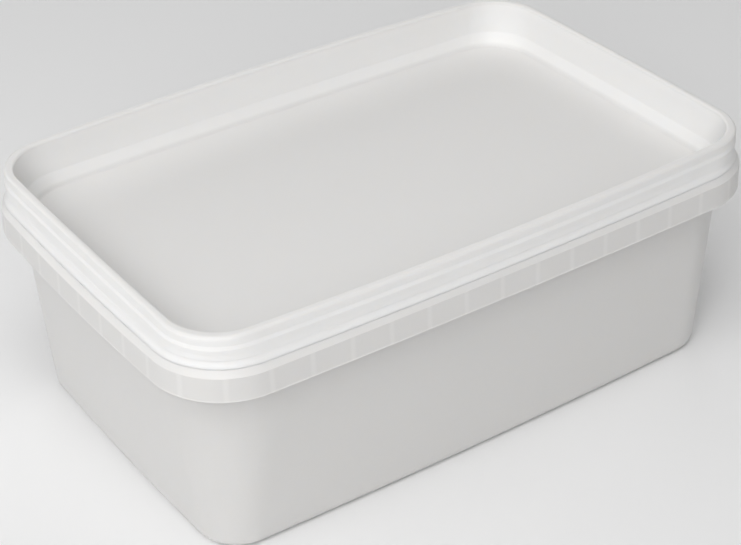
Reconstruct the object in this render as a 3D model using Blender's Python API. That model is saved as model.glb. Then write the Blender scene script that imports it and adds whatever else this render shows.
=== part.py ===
"""Two-litre ice cream tub, full and shut, with its lid clipped on.

Metres, +Z up, long side along X.  The origin is the middle of the foot, on the surface the tub
stands on.  Every level of tub and lid is the same kind of outline: a rectangle with round corners
and slightly bowed sides, as much longer than it is wide at every height.  Each piece is a loft
through such outlines.
"""
import math

import bmesh
import bpy
from mathutils import Vector

# Driving dimensions.  A half width is measured at the end of a long side, from the middle line;
# a core is a half width less its corner radius; a bow is given for the long and the short side.
LONGER_BY = 0.0778           # length minus width, the same at every level

FOOT_HALF = 0.0615           # tub's foot
FOOT_CORE = 0.0467
FOOT_BOW = Vector((0.0013, 0.0006))
FOOT_FILLET = 0.0035
NECK_HALF = 0.0685           # tub's wall where it meets the ledge
NECK_CORE = 0.0410
NECK_BOW = Vector((0.0010, 0.0005))
SKIRT_HALF = 0.0725          # band that hangs from the ledge, at its lower edge
SKIRT_CORE = 0.0469
SKIRT_BOW = Vector((0.0010, 0.0011))
SKIRT_BOTTOM = 0.0645
SKIRT_WALL = 0.0012
SHOULDER_HALF = 0.0722       # edge where the skirt turns into the sloping shoulder
SHOULDER_HEIGHT = 0.0727
LEDGE_HALF = 0.0710          # edge where the shoulder meets the flat of the ledge
LEDGE_TOP = 0.0750

LID_WALL = 0.0009
LID_CLEARANCE = 0.00045      # between the lid and the tub, all round
PANEL_HALF = 0.0622          # flat, sunk middle of the lid
PANEL_TOP = 0.0695
PANEL_CORE = 0.0452
PANEL_BOW = Vector((0.0010, 0.0004))
SLOPE_HALF = 0.0643          # where the slope round the panel steepens into the rim's inner wall
SLOPE_TOP = 0.0745
SLOPE_CORE = 0.0473
SLOPE_BOW = Vector((0.0012, 0.0004))
CROWN_HALF = 0.0675          # middle of the lid's round rim
CROWN_HEIGHT = 0.0843
CROWN_CORE = 0.0500
CROWN_RADIUS = 0.0013
CROWN_BOW = Vector((0.0024, 0.0002))
STEP_HALF = 0.0690           # shallow step near the top of the rim's outer face
STEP_HEIGHT = 0.0823
STEP_OUT = 0.0005
STEP_DROP = 0.0007
FLARE_HALF = 0.0699          # where the outer face turns outward toward its lower edge
FLARE_HEIGHT = 0.0785
LIP_HALF = 0.0710            # rim's lower edge, flush with the edge of the tub's ledge
LIP_CORE = 0.0466
LIP_BOW = Vector((0.0016, 0.0007))

RING_WALL = 0.0010           # tub's upright rim, inside the lid's hollow rim
RING_TOP = 0.0800

RIB_COUNT = 50               # ribs between the wall and the skirt
RIB_WALL = 0.0012
RIB_LENGTH = 0.0062
RIB_BOTTOM = 0.0651
RIB_BITE = 0.0006            # how far a rib runs into the skirt and the ledge
RIB_LEAN = 0.0011            # how far its outer edge leans inward
RIB_SHIFT = -0.0030          # first rib's place along the front, from the middle

CORNER_STEPS = 8
LONG_STEPS = 6
SHORT_STEPS = 4
ARC_STEPS = 4


def mix(low, high, share):
    """Value a given share of the way from low to high."""
    return low + (high - low) * share


def bowed_side(start, end, outward, bow, steps):
    """Points between two corners, pushed outward by a shallow arch."""
    points = []
    for step in range(1, steps):
        share = step / steps
        arch = 4 * share * (1 - share) * bow
        points.append(start.lerp(end, share) + outward * arch)
    return points


def outline(half, core, bow):
    """Rounded rectangle with bowed sides, anticlockwise from the right end of the front side."""
    corner = half - core
    reach_x = core + LONGER_BY / 2
    reach_y = core
    centres = [Vector((reach_x, -reach_y)), Vector((reach_x, reach_y)),
               Vector((-reach_x, reach_y)), Vector((-reach_x, -reach_y))]
    arcs = []
    for quarter, centre in enumerate(centres):
        first = (quarter - 1) * math.pi / 2
        angles = [first + step * math.pi / 2 / CORNER_STEPS for step in range(CORNER_STEPS + 1)]
        arcs.append([centre + Vector((math.cos(a), math.sin(a))) * corner for a in angles])
    points = []
    for quarter, arc in enumerate(arcs):
        short = quarter % 2 == 0
        steps = SHORT_STEPS if short else LONG_STEPS
        side_bow = bow.y if short else bow.x
        angle = quarter * math.pi / 2
        outward = Vector((math.cos(angle), math.sin(angle)))
        points += arc + bowed_side(arc[-1], arcs[(quarter + 1) % 4][0], outward, side_bow, steps)
    return points


def level(half, height, core, bow):
    """One outline of a loft, as points in space."""
    return [Vector((point.x, point.y, height)) for point in outline(half, core, bow)]


def loft(name, levels):
    """Closed solid through a list of levels that have the same number of points."""
    mesh = bmesh.new()
    rings = [[mesh.verts.new(point) for point in points] for points in levels]
    for lower, upper in zip(rings, rings[1:]):
        for here in range(len(lower)):
            after = (here + 1) % len(lower)
            mesh.faces.new((lower[here], lower[after], upper[after], upper[here]))
    mesh.faces.new(list(reversed(rings[0])))
    mesh.faces.new(rings[-1])
    bmesh.ops.recalc_face_normals(mesh, faces=mesh.faces)
    data = bpy.data.meshes.new(name)
    mesh.to_mesh(data)
    mesh.free()
    return bpy.data.objects.new(name, data)


def arc_profile(half, height, radius, first, last, steps):
    """Points (half width, height) on an arc, from one angle in degrees to another."""
    angles = [math.radians(mix(first, last, step / steps)) for step in range(steps + 1)]
    return [(half + radius * math.cos(a), height + radius * math.sin(a)) for a in angles]


def inset(profile, depth):
    """Profile moved sideways by depth, to the right of its direction of travel."""
    points = [Vector(point) for point in profile]
    normals = []
    for here, after in zip(points, points[1:]):
        along = (after - here).normalized()
        normals.append(Vector((along.y, -along.x)))
    moved = [points[0] + normals[0] * depth]
    for point, before, after in zip(points[1:], normals, normals[1:]):
        middle = (before + after).normalized()
        moved.append(point + middle * (depth / middle.dot(before)))
    moved.append(points[-1] + normals[-1] * depth)
    return [tuple(point) for point in moved]


def lid_inner_face():
    """Lid's upper face from the panel up the inside of the rim, as (half width, height)."""
    return [(PANEL_HALF, PANEL_TOP), (SLOPE_HALF, SLOPE_TOP),
            (CROWN_HALF - CROWN_RADIUS, CROWN_HEIGHT)]


def lid_outer_face():
    """Rim's outer face from the crown down to the lip, as (half width, height)."""
    return [(STEP_HALF, STEP_HEIGHT), (STEP_HALF + STEP_OUT, STEP_HEIGHT - STEP_DROP),
            (FLARE_HALF, FLARE_HEIGHT), (LIP_HALF, LEDGE_TOP + LID_CLEARANCE)]


def inner_shape(height):
    """Core and bow of the rim's inner side at a height, from the panel up to the crown."""
    if height < SLOPE_TOP:
        share = max((height - PANEL_TOP) / (SLOPE_TOP - PANEL_TOP), 0)
        return mix(PANEL_CORE, SLOPE_CORE, share), mix(PANEL_BOW, SLOPE_BOW, share)
    share = min((height - SLOPE_TOP) / (CROWN_HEIGHT - SLOPE_TOP), 1)
    return mix(SLOPE_CORE, CROWN_CORE, share), mix(SLOPE_BOW, CROWN_BOW, share)


def outer_shape(height):
    """Core and bow of the rim's outer side at a height, from the lip up to the crown."""
    share = min(max((height - LEDGE_TOP) / (CROWN_HEIGHT - LEDGE_TOP), 0), 1)
    return mix(LIP_CORE, CROWN_CORE, share), mix(LIP_BOW, CROWN_BOW, share)


def lid_levels(profile):
    """Levels of the lid's loft, whose outline changes along the rim's two sides."""
    levels = []
    for half, height in profile:
        shape = inner_shape if half < CROWN_HALF else outer_shape
        levels.append(level(half, height, *shape(height)))
    return levels


def make_lid():
    """Lid: a thin sheet, its panel sunk and its rim folded over into a hollow channel."""
    crown = arc_profile(CROWN_HALF, CROWN_HEIGHT, CROWN_RADIUS, 180, 15, ARC_STEPS)
    upper = lid_inner_face()[:-1] + crown + lid_outer_face()
    under = inset(upper, LID_WALL)
    under[0] = (PANEL_HALF + LID_WALL / 2, PANEL_TOP - LID_WALL)
    under[-1] = (LIP_HALF - LID_WALL, LEDGE_TOP + LID_CLEARANCE)
    return loft("lid", lid_levels(upper) + list(reversed(lid_levels(under))))


def wall_levels():
    """Tub's tapered wall: round the fillet at the foot, then up to the ledge."""
    neck_height = LEDGE_TOP - SKIRT_WALL
    fillet = arc_profile(FOOT_HALF - FOOT_FILLET, FOOT_FILLET, FOOT_FILLET, -90, 0, ARC_STEPS - 1)
    levels = [level(half, height, FOOT_CORE, FOOT_BOW) for half, height in fillet]
    for share in (0.5, 1):
        half, core = mix(FOOT_HALF, NECK_HALF, share), mix(FOOT_CORE, NECK_CORE, share)
        height = mix(FOOT_FILLET, neck_height, share)
        levels.append(level(half, height, core, mix(FOOT_BOW, NECK_BOW, share)))
    return levels


def skirt_levels():
    """Underside of the ledge, the skirt's two faces, its shoulder and the edge of the ledge."""
    outer = [(SKIRT_HALF, SKIRT_BOTTOM), (SHOULDER_HALF, SHOULDER_HEIGHT),
             (LEDGE_HALF, LEDGE_TOP), (NECK_HALF, LEDGE_TOP)]
    inner = inset(outer, -SKIRT_WALL)
    inner[0] = (SKIRT_HALF - SKIRT_WALL, SKIRT_BOTTOM)
    profile = [inner[2], inner[1], inner[0]] + outer[:2]
    levels = [level(half, height, SKIRT_CORE, SKIRT_BOW) for half, height in profile]
    return levels + [level(LEDGE_HALF, LEDGE_TOP, LIP_CORE, LIP_BOW)]


def ring_levels():
    """Tub's upright rim inside the lid's channel, and the fill's top close under the panel."""
    inside = inset(lid_inner_face(), LID_WALL + LID_CLEARANCE)
    (slope_half, slope_height), (crown_half, crown_height) = inside[1:]
    lean = (crown_half - slope_half) / (crown_height - slope_height)
    foot = slope_half + lean * (LEDGE_TOP - slope_height)
    head = slope_half + lean * (RING_TOP - slope_height)
    fill_top = PANEL_TOP - LID_WALL - LID_CLEARANCE
    fill_half = PANEL_HALF + (LID_WALL + LID_CLEARANCE) / 2
    profile = [(foot + RING_WALL, LEDGE_TOP), (head + RING_WALL, RING_TOP), (head, RING_TOP),
               (slope_half, slope_height), (fill_half, fill_top)]
    return [level(half, height, *inner_shape(height)) for half, height in profile]


def along_loop(points, distance):
    """Place and direction at a distance along a closed loop of points."""
    spans = [after - here for here, after in zip(points, points[1:] + points[:1])]
    left = distance % sum(span.length for span in spans)
    for here, span in zip(points, spans):
        if left <= span.length:
            return here + span * (left / span.length), span.normalized()
        left -= span.length
    return points[0], spans[0].normalized()


def make_ribs():
    """Thin upright ribs that join the skirt to the wall, evenly spaced right round the tub.  Their
    outer edge leans inward, so that it stays inside the skirt and its shoulder."""
    loop = outline(SKIRT_HALF - SKIRT_WALL + RIB_BITE, SKIRT_CORE, SKIRT_BOW)
    around = sum((after - here).length for here, after in zip(loop, loop[1:] + loop[:1]))
    front_end = loop.index(min(loop, key=lambda point: (round(point.y, 6), abs(point.x))))
    before_front = sum((after - here).length for here, after in zip(loop[:front_end], loop[1:]))
    top = LEDGE_TOP - SKIRT_WALL + RIB_BITE
    ribs = bmesh.new()
    for number in range(RIB_COUNT):
        distance = before_front + RIB_SHIFT + number * around / RIB_COUNT
        place, direction = along_loop(loop, distance)
        inward = Vector((-direction.y, direction.x))
        corners = []
        for reach, height in ((0, RIB_BOTTOM), (RIB_LENGTH, RIB_BOTTOM), (RIB_LENGTH, top),
                              (RIB_LEAN, top)):
            end = place + inward * reach
            corners += [Vector((*(end + direction * half), height))
                        for half in (-RIB_WALL / 2, RIB_WALL / 2)]
        verts = [ribs.verts.new(corner) for corner in corners]
        for face in ((0, 1, 3, 2), (2, 3, 5, 4), (4, 5, 7, 6), (6, 7, 1, 0),
                     (0, 2, 4, 6), (1, 7, 5, 3)):
            ribs.faces.new([verts[index] for index in face])
    bmesh.ops.recalc_face_normals(ribs, faces=ribs.faces)
    data = bpy.data.meshes.new("skirt_ribs")
    ribs.to_mesh(data)
    ribs.free()
    return bpy.data.objects.new("skirt_ribs", data)


def make_tub():
    """Tub with its fill: one solid from the foot to the upright rim."""
    return loft("tub", wall_levels() + skirt_levels() + ring_levels())


def join_ribs(tub, ribs):
    """Unite the ribs with the tub."""
    union = tub.modifiers.new("skirt ribs", "BOOLEAN")
    union.operation = "UNION"
    union.solver = "EXACT"
    union.object = ribs


def shade(piece, angle):
    """Smooth shading, with edges sharper than the angle left crisp."""
    piece.data.shade_smooth()
    piece.data.set_sharp_from_angle(angle=math.radians(angle))


def plastic(name, colour, roughness):
    """Moulded polypropylene."""
    material = bpy.data.materials.new(name)
    material.use_nodes = True
    surface = material.node_tree.nodes["Principled BSDF"]
    surface.inputs["Base Color"].default_value = (*colour, 1)
    surface.inputs["Roughness"].default_value = roughness
    surface.inputs["Metallic"].default_value = 0
    return material


def new_collection(name):
    """Collection linked to the scene."""
    collection = bpy.data.collections.new(name)
    bpy.context.scene.collection.children.link(collection)
    return collection


def build():
    """Make the tub and its lid."""
    for old in list(bpy.data.objects):
        bpy.data.objects.remove(old)
    pieces = new_collection("ice_cream_tub")
    cutters = new_collection("cutters")
    tub = make_tub()
    lid = make_lid()
    ribs = make_ribs()
    tub.data.materials.append(plastic("tub plastic", (0.80, 0.80, 0.79), 0.38))
    lid.data.materials.append(plastic("lid plastic", (0.83, 0.83, 0.82), 0.34))
    for piece in (tub, lid):
        pieces.objects.link(piece)
        shade(piece, 40)
    cutters.objects.link(ribs)
    ribs.hide_render = True
    ribs.display_type = "WIRE"
    join_ribs(tub, ribs)


build()
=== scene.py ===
import math

import bpy
from mathutils import Matrix, Vector


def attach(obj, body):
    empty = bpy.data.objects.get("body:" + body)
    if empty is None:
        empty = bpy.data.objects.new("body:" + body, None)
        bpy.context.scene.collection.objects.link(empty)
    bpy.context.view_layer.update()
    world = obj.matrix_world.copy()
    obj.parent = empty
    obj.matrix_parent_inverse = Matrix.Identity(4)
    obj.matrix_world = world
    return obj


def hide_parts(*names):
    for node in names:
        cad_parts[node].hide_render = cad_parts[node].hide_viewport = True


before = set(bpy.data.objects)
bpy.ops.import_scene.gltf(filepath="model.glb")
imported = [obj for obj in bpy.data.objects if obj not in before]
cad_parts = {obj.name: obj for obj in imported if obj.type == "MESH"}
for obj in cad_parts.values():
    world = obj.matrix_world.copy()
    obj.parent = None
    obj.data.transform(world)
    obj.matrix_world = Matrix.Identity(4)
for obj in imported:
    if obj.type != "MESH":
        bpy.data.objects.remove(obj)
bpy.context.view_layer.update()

# ---------------------------------------------------------------------------------------------
# The tub: white polypropylene, injection moulded in one shot and full to just under the lid.
# Its wall tapers to a filleted foot.  At the top it turns out into a ledge, hangs a skirt from
# the ledge's edge, and stands up again as a thin ring that the lid clips over.

# An outline has a half width, a core and a bow, in metres.  The core is the half width less the
# corner radius.  The bow is how far the long and the short sides arch out in their middle.
LONGER_BY = 0.0778                          # length minus width, the same at every height
FOOT_HALF, FOOT_CORE, FOOT_BOW = 0.0615, 0.0467, (0.0013, 0.0006)
FOOT_FILLET = 0.0035
NECK_HALF, NECK_CORE, NECK_BOW = 0.0685, 0.0410, (0.0010, 0.0005)
SKIRT_HALF, SKIRT_CORE, SKIRT_BOW = 0.0725, 0.0469, (0.0010, 0.0011)
SKIRT_BOTTOM, SKIRT_WALL = 0.0645, 0.0012
BEAD_OUT, BEAD_HEIGHT = 0.00006, 0.0003     # thicker line along the skirt's free edge
SHOULDER_HALF, SHOULDER_HEIGHT = 0.0722, 0.0727
SHOULDER_UNDER_HALF, SHOULDER_UNDER_HEIGHT = 0.0710, 0.07236
LEDGE_HALF, LEDGE_UNDER_HALF, LEDGE_TOP = 0.0710, 0.0702, 0.0750
LIP_CORE, LIP_BOW = 0.0466, (0.0016, 0.0007)     # the ledge's edge, and the lid's lip over it
RING_FOOT_HALF, RING_FOOT_CORE, RING_FOOT_BOW = 0.06677, 0.0474, (0.0013, 0.0004)
RING_HALF, RING_CORE, RING_BOW = 0.06774, 0.0488, (0.0019, 0.0003)
RING_WALL, RING_TOP = 0.0010, 0.0800
RING_ROOT_HALF, RING_ROOT_CORE, RING_ROOT_BOW = 0.0656, 0.0471, (0.0012, 0.0004)
RING_ROOT_HEIGHT = 0.0741
FILL_HALF, FILL_CORE, FILL_TOP = 0.06288, 0.0452, 0.06815     # close under the lid's panel
STRAIGHT = (0, 0)                                             # bow of an outline with none
RIB_COUNT, RIB_SHIFT = 50, -0.0030     # the first rib stands left of the front's middle
RIB_WALL, RIB_PITCH, RIB_BITE = 0.0012, 0.01376, 0.0006       # ribs bite into the skirt
RIB_LINE_HALF = SKIRT_HALF - SKIRT_WALL + RIB_BITE            # where the ribs' outer ends stand


class Value:
    """An output socket that sums can be written on: each operator adds its own Math node."""

    def __init__(self, graph, socket):
        self.graph = graph
        self.socket = socket

    def math(self, operation, *terms):
        inputs = dict(enumerate((self,) + terms))
        return self.graph.add("ShaderNodeMath", {"operation": operation}, inputs)

    def other(self, name):
        """Another output of the same node."""
        return Value(self.graph, self.socket.node.outputs[name])

    def clamped(self):
        return self.graph.add("ShaderNodeClamp", {}, {"Value": self})

    def __add__(self, term):
        return self.math("ADD", term)

    def __sub__(self, term):
        return self.math("SUBTRACT", term)

    def __rsub__(self, term):
        return self.graph.add("ShaderNodeMath", {"operation": "SUBTRACT"}, {0: term, 1: self})

    def __mul__(self, term):
        return self.math("MULTIPLY", term)

    def __truediv__(self, term):
        return self.math("DIVIDE", term)

    def __gt__(self, term):
        return self.math("GREATER_THAN", term)

    __radd__ = __add__
    __rmul__ = __mul__


class Graph:
    """A shader or geometry tree under construction."""

    def __init__(self, tree):
        self.tree = tree

    def add(self, kind, settings=None, inputs=None, output=0):
        """One node: its settings first, then a value or a link for each input."""
        node = self.tree.nodes.new(kind)
        for name, setting in (settings or {}).items():
            if name == "stops":
                for element, (position, colour) in zip(node.color_ramp.elements, setting):
                    element.position = position
                    element.color = colour
            else:
                setattr(node, name, setting)
        for name, term in (inputs or {}).items():
            if isinstance(term, Value):
                self.tree.links.new(term.socket, node.inputs[name])
            else:
                node.inputs[name].default_value = term
        return Value(self, node.outputs[output]) if len(node.outputs) else node

    def point(self, x, y, z):
        return self.add("ShaderNodeCombineXYZ", {}, {"X": x, "Y": y, "Z": z})


SOCKETS = {"geometry": "NodeSocketGeometry", "number": "NodeSocketFloat",
           "material": "NodeSocketMaterial"}


def new_group(name, inputs, outputs):
    """Geometry tree with named inputs and outputs; gives the graph and its inputs as Values."""
    tree = bpy.data.node_groups.new(name, "GeometryNodeTree")
    for label, kind in inputs.items():
        tree.interface.new_socket(label, in_out="INPUT", socket_type=SOCKETS[kind])
    for label, kind in outputs.items():
        tree.interface.new_socket(label, in_out="OUTPUT", socket_type=SOCKETS[kind])
    graph = Graph(tree)
    first = graph.add("NodeGroupInput")
    return graph, {label: first.other(label) for label in inputs}


def moulded_outline():
    """Point on a tub's outline, from its step round the tub: a core rectangle's corners and
    sides pushed out by the corner radius, and along the sides by a shallow arch as well."""
    graph, given = new_group(
        "moulded_outline",
        {"Step": "number", "Half Width": "number", "Core": "number", "Long Bow": "number",
         "Short Bow": "number", "Longer By": "number", "Corner Steps": "number",
         "Long Steps": "number", "Short Steps": "number"},
        {"X": "number", "Y": "number", "Along": "number"})
    corner = given["Half Width"] - given["Core"]
    corner_steps, long_steps, short_steps = (
        given["Corner Steps"], given["Long Steps"], given["Short Steps"])
    half_turn = corner_steps * 2 + long_steps + short_steps
    second = given["Step"] > half_turn - 0.5
    step = given["Step"] - second * half_turn
    first_arc = (step / corner_steps).clamped()
    short = ((step - corner_steps) / short_steps).clamped()
    second_arc = ((step - corner_steps - short_steps) / corner_steps).clamped()
    long = ((step - corner_steps * 2 - short_steps) / long_steps).clamped()
    reach_x = given["Core"] + given["Longer By"] * 0.5
    reach_y = given["Core"]
    angle = (first_arc + second_arc - 1) * (math.pi / 2)
    arch = (short * (1 - short) * given["Short Bow"] + long * (1 - long) * given["Long Bow"]) * 4
    side = 1 - second * 2
    x = side * (reach_x * (1 - long * 2) + (corner + arch) * angle.math("COSINE"))
    y = side * (reach_y * (short * 2 - 1) + (corner + arch) * angle.math("SINE"))
    arc_length = corner * (math.pi / 2)
    half_length = arc_length * 2 + reach_x * 2 + reach_y * 2
    along = ((first_arc + second_arc) * arc_length + short * reach_y * 2 + long * reach_x * 2
             + second * half_length)
    graph.add("NodeGroupOutput", {}, {"X": x, "Y": y, "Along": along})
    return graph.tree


CORNER_STEPS, LONG_STEPS, SHORT_STEPS = 16, 24, 16
STEPS_ROUND = 2 * (2 * CORNER_STEPS + LONG_STEPS + SHORT_STEPS)
OUTLINE = moulded_outline()


def outline_point(graph, step, half, core, bow):
    """The outline group in a tree, set up for this tub."""
    shape = {"Step": step, "Half Width": half, "Core": core, "Long Bow": bow[0],
             "Short Bow": bow[1], "Longer By": LONGER_BY, "Corner Steps": CORNER_STEPS,
             "Long Steps": LONG_STEPS, "Short Steps": SHORT_STEPS}
    return graph.add("GeometryNodeGroup", {"node_tree": OUTLINE}, shape, "X")


def moulded_skin():
    """Closed skin through a profile: a grid whose rows are the profile's points and whose
    columns go round the tub, welded at the seam and where the rows shrink to a line.  Its UV
    map rib_place counts the ribs along the outline, and gives the height."""
    graph, given = new_group(
        "moulded_skin",
        {"Profile": "geometry", "Rib Count": "number", "Rib Shift": "number",
         "Rib Half Width": "number", "Rib Core": "number", "Plastic": "material"},
        {"Skin": "geometry"})
    profile = given["Profile"]
    rows = graph.add("GeometryNodeAttributeDomainSize", {"component": "MESH"},
                     {"Geometry": profile}, "Point Count")
    grid = graph.add("GeometryNodeMeshGrid", {},
                     {"Size X": 1.0, "Size Y": 1.0, "Vertices X": STEPS_ROUND + 1,
                      "Vertices Y": rows}, "Mesh")
    position = graph.add("GeometryNodeInputPosition")
    place = graph.add("ShaderNodeSeparateXYZ", {}, {0: position}, "X")
    step = ((place + 0.5) * STEPS_ROUND).math("ROUND")
    row = ((place.other("Y") + 0.5) * (rows - 1)).math("ROUND")

    def read(name):
        value = graph.add("GeometryNodeInputNamedAttribute", {"data_type": "FLOAT"},
                          {"Name": name}, "Attribute")
        return graph.add("GeometryNodeSampleIndex", {"data_type": "FLOAT"},
                         {"Geometry": profile, "Value": value, "Index": row}, "Value")

    height = read("height")
    outline = outline_point(graph, step, read("half"), read("core"),
                            (read("long_bow"), read("short_bow")))
    ribs = outline_point(graph, step, given["Rib Half Width"], given["Rib Core"], SKIRT_BOW)
    half_round = outline_point(graph, STEPS_ROUND / 2, given["Rib Half Width"],
                               given["Rib Core"], SKIRT_BOW).other("Along")
    front_middle = half_round * 2 - (given["Rib Core"] + LONGER_BY / 2)
    pitch = half_round * 2 / given["Rib Count"]
    ribs_along = (ribs.other("Along") - front_middle - given["Rib Shift"]) / pitch
    marked = graph.add("GeometryNodeStoreNamedAttribute",
                       {"data_type": "FLOAT2", "domain": "CORNER"},
                       {"Geometry": grid, "Name": "rib_place",
                        "Value": graph.point(ribs_along, height, 0.0)})
    moved = graph.add("GeometryNodeSetPosition", {}, {
        "Geometry": marked, "Position": graph.point(outline, outline.other("Y"), height)})
    welded = graph.add("GeometryNodeMergeByDistance", {}, {"Geometry": moved, "Distance": 1e-6})
    smooth = graph.add("GeometryNodeSetShadeSmooth", {},
                       {"Geometry": welded, "Shade Smooth": True})
    real = graph.add("GeometryNodeRealizeInstances", {}, {"Geometry": smooth})
    done = graph.add("GeometryNodeSetMaterial", {},
                     {"Geometry": real, "Material": given["Plastic"]})
    graph.add("NodeGroupOutput", {}, {"Skin": done})
    return graph.tree


SKIN = moulded_skin()


def grown(name, source_mesh, tree, inputs):
    """Plain mesh object from a geometry tree on a source mesh, which goes with its modifier."""
    source = bpy.data.objects.new(name + "_source", source_mesh)
    bpy.context.scene.collection.objects.link(source)
    modifier = source.modifiers.new(name, "NODES")
    modifier.node_group = tree
    for socket in tree.interface.items_tree:
        if socket.in_out == "INPUT" and socket.name in inputs:
            modifier[socket.identifier] = inputs[socket.name]
    evaluated = source.evaluated_get(bpy.context.evaluated_depsgraph_get())
    mesh = bpy.data.meshes.new_from_object(evaluated)
    bpy.data.objects.remove(source)
    mesh.name = name
    piece = bpy.data.objects.new(name, mesh)
    bpy.context.scene.collection.objects.link(piece)
    return piece


def rounded(points, steps=5):
    """Profile whose corners are arcs.  An arc takes up less than half of either flat beside it,
    and gets a close neighbour at both ends, which keeps those flats flat when shaded."""
    most, guard = 0.45, 0.12
    made = [points[0]]
    for before, here, after in zip(points, points[1:], points[2:]):
        place, radius = Vector(here[:2]), here[2]
        if radius == 0:
            made.append(here)
            continue
        back, on = Vector(before[:2]) - place, Vector(after[:2]) - place
        opening = back.angle(on)
        turn = math.pi - opening
        reach = min(radius / math.tan(opening / 2), most * back.length, most * on.length)
        radius = reach * math.tan(opening / 2)
        back.normalize()
        on.normalize()
        centre = place + (back + on).normalized() * (radius / math.sin(opening / 2))
        start, end = place + back * reach - centre, place + on * reach - centre
        made.append((*(place + back * reach * (1 + guard)), 0, *here[3:]))
        for step in range(steps + 1):
            share = step / steps
            spoke = start * math.sin((1 - share) * turn) + end * math.sin(share * turn)
            made.append((*(centre + spoke / math.sin(turn)), 0, *here[3:]))
        made.append((*(place + on * reach * (1 + guard)), 0, *here[3:]))
    return made + [points[-1]]


def skin(name, points, plastic):
    """One closed piece from a profile of points (half width, height, edge radius, core, bow)."""
    fine = rounded(points)
    source_mesh = bpy.data.meshes.new(name + "_profile")
    source_mesh.from_pydata([(point[0], 0, point[1]) for point in fine],
                            [(row, row + 1) for row in range(len(fine) - 1)], [])
    columns = {"half": [point[0] for point in fine], "height": [point[1] for point in fine],
               "core": [point[3] for point in fine],
               "long_bow": [point[4][0] for point in fine],
               "short_bow": [point[4][1] for point in fine]}
    for label, column in columns.items():
        source_mesh.attributes.new(label, "FLOAT", "POINT").data.foreach_set("value", column)
    return grown(name, source_mesh, SKIN, {
        "Rib Count": float(RIB_COUNT), "Rib Shift": RIB_SHIFT, "Rib Half Width": RIB_LINE_HALF,
        "Rib Core": SKIRT_CORE, "Plastic": plastic})


CLOUD_SCALE, CLOUD_TONE, CLOUD_ROUGHNESS = 22.0, 0.025, 0.06    # unevenness left by the cooling
GRAIN_SCALE, GRAIN_ROUGHNESS = 900.0, 0.10                      # fine grain left by the mould
GRAIN_DEPTH, GRAIN_STRENGTH = 0.00004, 0.25
TONE_REACH = 0.2                    # a tone of 0 is this much darker, and 1 this much lighter
RIM_LOW, RIM_HIGH = 0.0696, 0.0712                  # painted light: the lid is painted lighter between these heights, and painted shade takes most of it back over these
CROWN_LOW, CROWN_HIGH, CROWN_PAINTED_SHADE = 0.0843, 0.0852, 0.7         # and loses most of it over these
MILKINESS, MILKY_DEPTH = 0.7, 0.0012                # share of the light that sinks in, and how far
MILKY_REACH = (1.0, 0.95, 0.88)                     # red spreads a little further than blue
POLYPROPYLENE_IOR, SPECULAR_LEVEL = 1.49, 0.36


def polypropylene(name, colour, roughness, painted_rib_light=0.0, painted_shoulder_light=0.0, painted_rim_light=0.0):
    """White polypropylene: light sinks in and comes out soft.  Where light would reach the plastic
    from behind or from two sides, its base colour is painted lighter: painted light on the skirt
    before each rib, on the shoulder, and on the lid's thin rim, with painted shade over its crown."""
    material = bpy.data.materials.new(name)
    material.use_nodes = True
    graph = Graph(material.node_tree)
    surface = material.node_tree.nodes["Principled BSDF"]
    place = graph.add("ShaderNodeTexCoord", {}, {}, "Object")
    cloud = graph.add("ShaderNodeTexNoise", {},
                      {"Vector": place, "Scale": CLOUD_SCALE, "Detail": 2.0}, "Fac") - 0.5
    grain = graph.add("ShaderNodeTexNoise", {},
                      {"Vector": place, "Scale": GRAIN_SCALE, "Detail": 3.0}, "Fac")
    ribs = graph.add("ShaderNodeUVMap", {"uv_map": "rib_place"}, {}, "UV")
    lengthwise = graph.add("ShaderNodeSeparateXYZ", {}, {0: ribs}, "X")
    height = graph.add("ShaderNodeSeparateXYZ", {}, {0: place}, "Z")
    # painted light: the skirt's base colour is made lighter just in front of each rib, standing in
    # for light let through the thin skirt
    from_rib = lengthwise.math("PINGPONG", 0.5) * RIB_PITCH
    fade_start, fade_end = RIB_WALL * 0.3, RIB_WALL
    before_rib = 1 - ((from_rib - fade_start) / (fade_end - fade_start)).clamped()
    on_skirt = (height > SKIRT_BOTTOM + BEAD_HEIGHT + 0.0001) * (SHOULDER_HEIGHT - height > 0)
    # painted light: everything above the shoulder's height is made lighter
    on_shoulder = height > SHOULDER_HEIGHT
    on_rim = ((height - RIM_LOW) / (RIM_HIGH - RIM_LOW)).clamped()
    # painted shade: over the crown most of the rim's painted light is taken back, which dims the
    # crown's highlight
    on_crown = ((height - CROWN_LOW) / (CROWN_HIGH - CROWN_LOW)).clamped()
    # the tone is random cloud plus painted light on ribs, shoulder and rim, less painted shade
    # over the crown
    tone = (0.5 + cloud * CLOUD_TONE + before_rib * on_skirt * painted_rib_light
            + on_shoulder * painted_shoulder_light + (on_rim - on_crown * CROWN_PAINTED_SHADE) * painted_rim_light)
    dark, light = ([channel * share for channel in colour] + [1]
                   for share in (1 - TONE_REACH, 1 + TONE_REACH))
    base = graph.add("ShaderNodeValToRGB", {"stops": [(0.0, dark), (1.0, light)]},
                     {"Fac": tone}, "Color")
    sheen = roughness + (grain - 0.5) * GRAIN_ROUGHNESS + cloud * CLOUD_ROUGHNESS
    bump = graph.add("ShaderNodeBump", {}, {
        "Strength": GRAIN_STRENGTH, "Distance": GRAIN_DEPTH, "Height": grain}, "Normal")
    for value, label in ((base, "Base Color"), (sheen, "Roughness"), (bump, "Normal")):
        material.node_tree.links.new(value.socket, surface.inputs[label])
    surface.inputs["Subsurface Weight"].default_value = MILKINESS
    surface.inputs["Subsurface Radius"].default_value = MILKY_REACH
    surface.inputs["Subsurface Scale"].default_value = MILKY_DEPTH
    surface.inputs["IOR"].default_value = POLYPROPYLENE_IOR
    surface.inputs["Specular IOR Level"].default_value = SPECULAR_LEVEL
    return material


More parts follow.
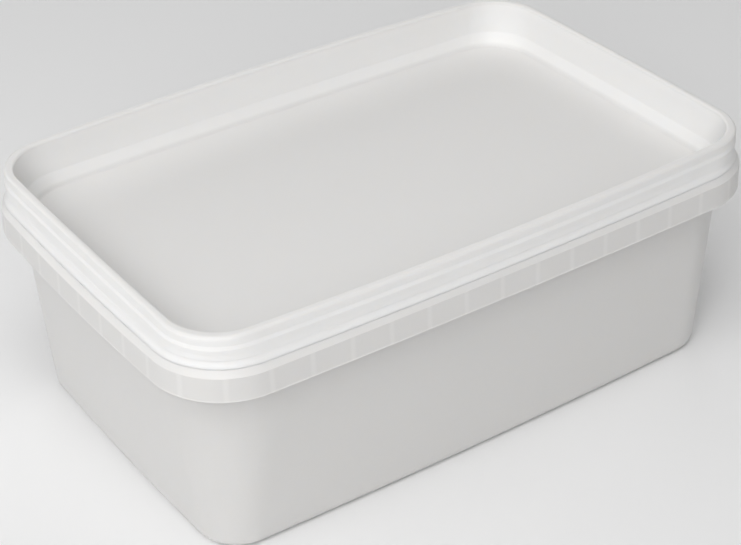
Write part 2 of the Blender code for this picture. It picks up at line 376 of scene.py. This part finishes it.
ledge_under = LEDGE_TOP - SKIRT_WALL
tub_profile = [
    (0, 0, 0, 0, STRAIGHT),
    (FOOT_HALF, 0, FOOT_FILLET, FOOT_CORE, FOOT_BOW),
    (NECK_HALF, ledge_under, 0.0006, NECK_CORE, NECK_BOW),
    (LEDGE_UNDER_HALF, ledge_under, 0.0004, SKIRT_CORE, SKIRT_BOW),
    (SHOULDER_UNDER_HALF, SHOULDER_UNDER_HEIGHT, 0.0006, SKIRT_CORE, SKIRT_BOW),
    (SKIRT_HALF - SKIRT_WALL, SKIRT_BOTTOM, 0.0003, SKIRT_CORE, SKIRT_BOW),
    (SKIRT_HALF, SKIRT_BOTTOM, 0.0001, SKIRT_CORE, SKIRT_BOW),
    (SKIRT_HALF, SKIRT_BOTTOM + BEAD_HEIGHT, 0.0001, SKIRT_CORE, SKIRT_BOW),
    (SKIRT_HALF - BEAD_OUT, SKIRT_BOTTOM + BEAD_HEIGHT * 1.8, 0.0002, SKIRT_CORE, SKIRT_BOW),
    (SHOULDER_HALF, SHOULDER_HEIGHT, 0.0005, SKIRT_CORE, SKIRT_BOW),
    (LEDGE_HALF, LEDGE_TOP, 0.00002, LIP_CORE, LIP_BOW),
    (RING_FOOT_HALF, LEDGE_TOP, 0.0003, RING_FOOT_CORE, RING_FOOT_BOW),
    (RING_HALF, RING_TOP, 0.0003, RING_CORE, RING_BOW),
    (RING_HALF - RING_WALL, RING_TOP, 0.0003, RING_CORE, RING_BOW),
    (RING_ROOT_HALF, RING_ROOT_HEIGHT, 0, RING_ROOT_CORE, RING_ROOT_BOW),
    (FILL_HALF, FILL_TOP, 0, FILL_CORE, STRAIGHT),
    (0, FILL_TOP, 0, 0, STRAIGHT)]
TUB_WHITE, TUB_ROUGHNESS = (0.739, 0.731, 0.720), 0.40
# both tones are painted light: a lighter skirt in front of each rib and a lighter shoulder
tub_plastic = polypropylene("tub_polypropylene", TUB_WHITE, TUB_ROUGHNESS,
                            painted_rib_light=0.12, painted_shoulder_light=0.15)
tub = skin("tub_shell", tub_profile, tub_plastic)
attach(tub, "root")
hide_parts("tub")

# ---------------------------------------------------------------------------------------------
# The ribs: thin upright webs moulded with the tub, which tie the skirt to the wall at an even
# pitch right round and keep the ledge stiff.  On the ledge above each rib is a low seat pad, and
# the lid's lip rests on the pads.

RIB_LENGTH, RIB_BOTTOM, RIB_TAPER = 0.0062, 0.0651, 0.15
RIB_LEAN = 0.0011                           # the ribs' outer ends follow the shoulder inward
PAD_WIDTH, PAD_DEPTH, PAD_TAPER = 0.0026, 0.0009, -0.2
PAD_HEIGHT, PAD_SINK = 0.00002, 0.0001


def rib_row():
    """Boxes with a slight mould taper, spaced evenly along the tub's outline and square to it."""
    graph, given = new_group(
        "rib_row",
        {"Source": "geometry", "Count": "number", "Shift": "number", "Half Width": "number",
         "Core": "number", "Long Bow": "number", "Short Bow": "number", "Thickness": "number",
         "Depth": "number", "Bottom": "number", "Top": "number", "Taper": "number",
         "Lean": "number", "Plastic": "material"},
        {"Row": "geometry"})
    circle = graph.add("GeometryNodeCurvePrimitiveCircle", {}, {"Resolution": STEPS_ROUND})
    number = graph.add("GeometryNodeInputIndex")
    outline = outline_point(graph, number, given["Half Width"], given["Core"],
                            (given["Long Bow"], given["Short Bow"]))
    line = graph.add("GeometryNodeSetPosition", {}, {
        "Geometry": circle, "Position": graph.point(outline, outline.other("Y"), 0.0)})
    around = graph.add("GeometryNodeCurveLength", {}, {"Curve": line})
    front_middle = around - (given["Core"] + LONGER_BY / 2)
    points = graph.add("GeometryNodePoints", {}, {"Count": given["Count"]})
    distance = front_middle + given["Shift"] + number * around / given["Count"]
    place = graph.add("GeometryNodeSampleCurve", {"mode": "LENGTH"}, {
        "Curves": line, "Length": distance.math("WRAP", around, 0.0)}, "Position")
    stood = graph.add("GeometryNodeSetPosition", {}, {"Geometry": points, "Position": place})
    turn = graph.add("FunctionNodeAlignRotationToVector", {"axis": "X", "pivot_axis": "Z"},
                     {"Vector": place.other("Tangent")})
    height = given["Top"] - given["Bottom"]
    box = graph.add("GeometryNodeMeshCube", {}, {
        "Size": graph.point(given["Thickness"], given["Depth"], height), "Vertices Z": 3})
    spot = graph.add("GeometryNodeInputPosition")
    across = graph.add("ShaderNodeSeparateXYZ", {}, {0: spot}, "X")
    up = across.other("Z") / height + 0.5
    inner = across.other("Y") / given["Depth"] + 0.5
    tapered = graph.add("GeometryNodeSetPosition", {}, {"Geometry": box, "Position": graph.point(
        across * (1 - (1 - up) * given["Taper"]),
        inner * given["Depth"] + up * (1 - inner) * given["Lean"],
        up * height + given["Bottom"])})
    row = graph.add("GeometryNodeInstanceOnPoints", {}, {
        "Points": stood, "Instance": tapered, "Rotation": turn})
    real = graph.add("GeometryNodeRealizeInstances", {}, {"Geometry": row})
    faceted = graph.add("GeometryNodeSetShadeSmooth", {},
                        {"Geometry": real, "Shade Smooth": False})
    done = graph.add("GeometryNodeSetMaterial", {},
                     {"Geometry": faceted, "Material": given["Plastic"]})
    graph.add("NodeGroupOutput", {}, {"Row": done})
    return graph.tree


RIB_ROW = rib_row()
rib_places = {"Count": float(RIB_COUNT), "Shift": RIB_SHIFT, "Core": SKIRT_CORE,
              "Long Bow": SKIRT_BOW[0], "Short Bow": SKIRT_BOW[1], "Plastic": tub_plastic}
ribs = grown("skirt_ribs", bpy.data.meshes.new("rib_source"), RIB_ROW, {
    **rib_places, "Half Width": RIB_LINE_HALF, "Thickness": RIB_WALL, "Depth": RIB_LENGTH,
    "Bottom": RIB_BOTTOM, "Top": ledge_under + RIB_BITE, "Taper": RIB_TAPER, "Lean": RIB_LEAN})
pads = grown("seat_pads", bpy.data.meshes.new("pad_source"), RIB_ROW, {
    **rib_places, "Half Width": LEDGE_HALF - PAD_SINK, "Thickness": PAD_WIDTH,
    "Depth": PAD_DEPTH, "Bottom": LEDGE_TOP - PAD_SINK, "Top": LEDGE_TOP + PAD_HEIGHT,
    "Taper": PAD_TAPER, "Lean": 0.0})
for piece in (ribs, pads):
    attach(piece, "root")

# ---------------------------------------------------------------------------------------------
# The lid: a thinner moulding of the same plastic.  Its panel is sunk, so that the foot of another
# tub sits in it, and its rim is folded over into a hollow channel that snaps over the tub's ring.

PANEL_HALF, PANEL_TOP, PANEL_CORE, PANEL_BOW = 0.0622, 0.0695, 0.0452, (0.0010, 0.0004)
SLOPE_HALF, SLOPE_TOP, SLOPE_CORE, SLOPE_BOW = 0.0643, 0.0745, 0.0473, (0.0012, 0.0004)
CROWN_INNER_HALF, CROWN_INNER_CORE, CROWN_INNER_BOW = 0.0662, 0.0485, (0.0024, 0.0005)
CROWN_HALF, CROWN_CORE, CROWN_BOW = 0.0688, 0.0500, (0.0024, 0.0002)
CROWN_TOP, CROWN_SPRING = 0.08558, 0.0843           # the crown's curve springs from its sides
STEP_HALF, STEP_HEIGHT, STEP_OUT, STEP_DROP = 0.0690, 0.0823, 0.0005, 0.0011
FLARE_HALF, FLARE_HEIGHT = 0.0697, 0.0785
FLARE_LOW_HALF, FLARE_LOW_HEIGHT = 0.0701, 0.0767
LID_WALL = 0.0009


def outer_face(half, height, radius):
    """Point on the rim's outer face, whose outline changes from the lip's to the crown's."""
    share = (height - LEDGE_TOP) / (CROWN_SPRING - LEDGE_TOP)
    bow = tuple(lip + (crown - lip) * share for lip, crown in zip(LIP_BOW, CROWN_BOW))
    return half, height, radius, LIP_CORE + (CROWN_CORE - LIP_CORE) * share, bow


def inset(points, depth):
    """Profile moved to the right of its direction of travel by depth."""
    places = [Vector(point[:2]) for point in points]
    normals = []
    for here, after in zip(places, places[1:]):
        along = (after - here).normalized()
        normals.append(Vector((along.y, -along.x)))
    moved = [places[0] + normals[0] * depth]
    for place, before, after in zip(places[1:], normals, normals[1:]):
        middle = (before + after).normalized()
        moved.append(place + middle * (depth / middle.dot(before)))
    moved.append(places[-1] + normals[-1] * depth)
    return [(*place, *point[2:]) for place, point in zip(moved, points)]


lip_bottom = LEDGE_TOP + PAD_HEIGHT
lid_top = [
    (0, PANEL_TOP, 0, 0, STRAIGHT),
    (PANEL_HALF, PANEL_TOP, 0.0012, PANEL_CORE, PANEL_BOW),
    (SLOPE_HALF, SLOPE_TOP, 0.0015, SLOPE_CORE, SLOPE_BOW),
    (CROWN_INNER_HALF, CROWN_TOP, 0.0009, CROWN_INNER_CORE, CROWN_INNER_BOW),
    (CROWN_HALF, CROWN_TOP, 0.0011, CROWN_CORE, CROWN_BOW),
    outer_face(STEP_HALF, STEP_HEIGHT, 0.0010),
    outer_face(STEP_HALF + STEP_OUT, STEP_HEIGHT - STEP_DROP, 0.0010),
    outer_face(FLARE_HALF, FLARE_HEIGHT, 0.0100),
    outer_face(FLARE_LOW_HALF, FLARE_LOW_HEIGHT, 0.0060),
    outer_face(LEDGE_HALF, lip_bottom, 0.00002)]
lid_under = inset(lid_top, LID_WALL)
lid_under[-1] = outer_face(LEDGE_HALF - LID_WALL, lip_bottom, 0)
LID_WHITE, LID_ROUGHNESS = (0.752, 0.744, 0.732), 0.48
# painted light: the lid's thin rim is made lighter up to its crown
lid_plastic = polypropylene("lid_polypropylene", LID_WHITE, LID_ROUGHNESS, painted_rim_light=0.43)
lid = skin("lid_shell", lid_under + lid_top[::-1], lid_plastic)
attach(lid, "root")
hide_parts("lid")

# ---------------------------------------------------------------------------------------------
# The studio: a seamless floor of pale paper, and square soft lamps all round the tub.  The
# strongest stand in front and to the left, and the weak ones behind light the far sides.

FLOOR_REACH, FLOOR_WHITE, FLOOR_ROUGHNESS = 3.0, (0.85, 0.85, 0.85, 1), 0.9
ROOM_LIGHT = 0.113
LAMP_DISTANCE, LAMP_WIDTH = 1.4, 0.7
LAMPS = {   # azimuth and elevation in degrees, and watts
    "key": (-34, 65, 6.0), "front": (-40, 30, 6.6), "left": (-65, 45, 3.1),
    "left_back": (-110, 45, 2.6), "overhead": (0, 88, 1.3), "right": (90, 20, 1.6),
    "behind_left": (-150, 12, 1.7), "behind_right": (150, 12, 2.8),
    "behind_high": (150, 45, 0.8)}
TUB_MIDDLE = 0.0441                         # height that the lamps and the camera look at

floor_mesh = bpy.data.meshes.new("floor")
floor_mesh.from_pydata([(-FLOOR_REACH, -FLOOR_REACH, 0), (FLOOR_REACH, -FLOOR_REACH, 0),
                        (FLOOR_REACH, FLOOR_REACH, 0), (-FLOOR_REACH, FLOOR_REACH, 0)],
                       [], [(0, 1, 2, 3)])
floor = bpy.data.objects.new("floor", floor_mesh)
bpy.context.scene.collection.objects.link(floor)
paper = bpy.data.materials.new("floor_paper")
paper.use_nodes = True
paper_surface = paper.node_tree.nodes["Principled BSDF"]
paper_surface.inputs["Base Color"].default_value = FLOOR_WHITE
paper_surface.inputs["Roughness"].default_value = FLOOR_ROUGHNESS
floor_mesh.materials.append(paper)

world = bpy.data.worlds.new("studio")
world.use_nodes = True
world.node_tree.nodes["Background"].inputs["Color"].default_value = (1, 1, 1, 1)
world.node_tree.nodes["Background"].inputs["Strength"].default_value = ROOM_LIGHT
bpy.context.scene.world = world


def looking(azimuth, elevation, distance, roll=0, right=0, up=0):
    """Matrix of a camera or a lamp that looks at the tub's middle from that direction."""
    azimuth, elevation, roll = (math.radians(angle) for angle in (azimuth, elevation, roll))
    back = Vector((math.sin(azimuth) * math.cos(elevation),
                   -math.cos(azimuth) * math.cos(elevation), math.sin(elevation)))
    side = Vector((math.cos(azimuth), math.sin(azimuth), 0))
    top = back.cross(side)
    side, top = (side * math.cos(roll) + top * math.sin(roll),
                 top * math.cos(roll) - side * math.sin(roll))
    place = Vector((0, 0, TUB_MIDDLE)) + back * distance + side * right + top * up
    turn = Matrix((side, top, back)).transposed().to_4x4()
    return Matrix.Translation(place) @ turn


for name, (azimuth, elevation, power) in LAMPS.items():
    light = bpy.data.lights.new(name, "AREA")
    light.shape = "RECTANGLE"
    light.size, light.size_y = LAMP_WIDTH, LAMP_WIDTH
    light.energy = power
    lamp = bpy.data.objects.new(name, light)
    bpy.context.scene.collection.objects.link(lamp)
    lamp.matrix_world = looking(azimuth, elevation, LAMP_DISTANCE)

camera_data = bpy.data.cameras.new("camera")
camera_data.sensor_fit = "HORIZONTAL"
camera_data.sensor_width = 36
camera_data.lens = 91.28
camera_data.clip_start = 0.05
camera = bpy.data.objects.new("camera", camera_data)
bpy.context.scene.collection.objects.link(camera)
camera.matrix_world = looking(azimuth=-33.845, elevation=33.065, distance=0.6410,
                              roll=-1.343, right=-0.00186, up=-0.00788)
bpy.context.scene.camera = camera
bpy.context.scene.view_settings.view_transform = "Standard"
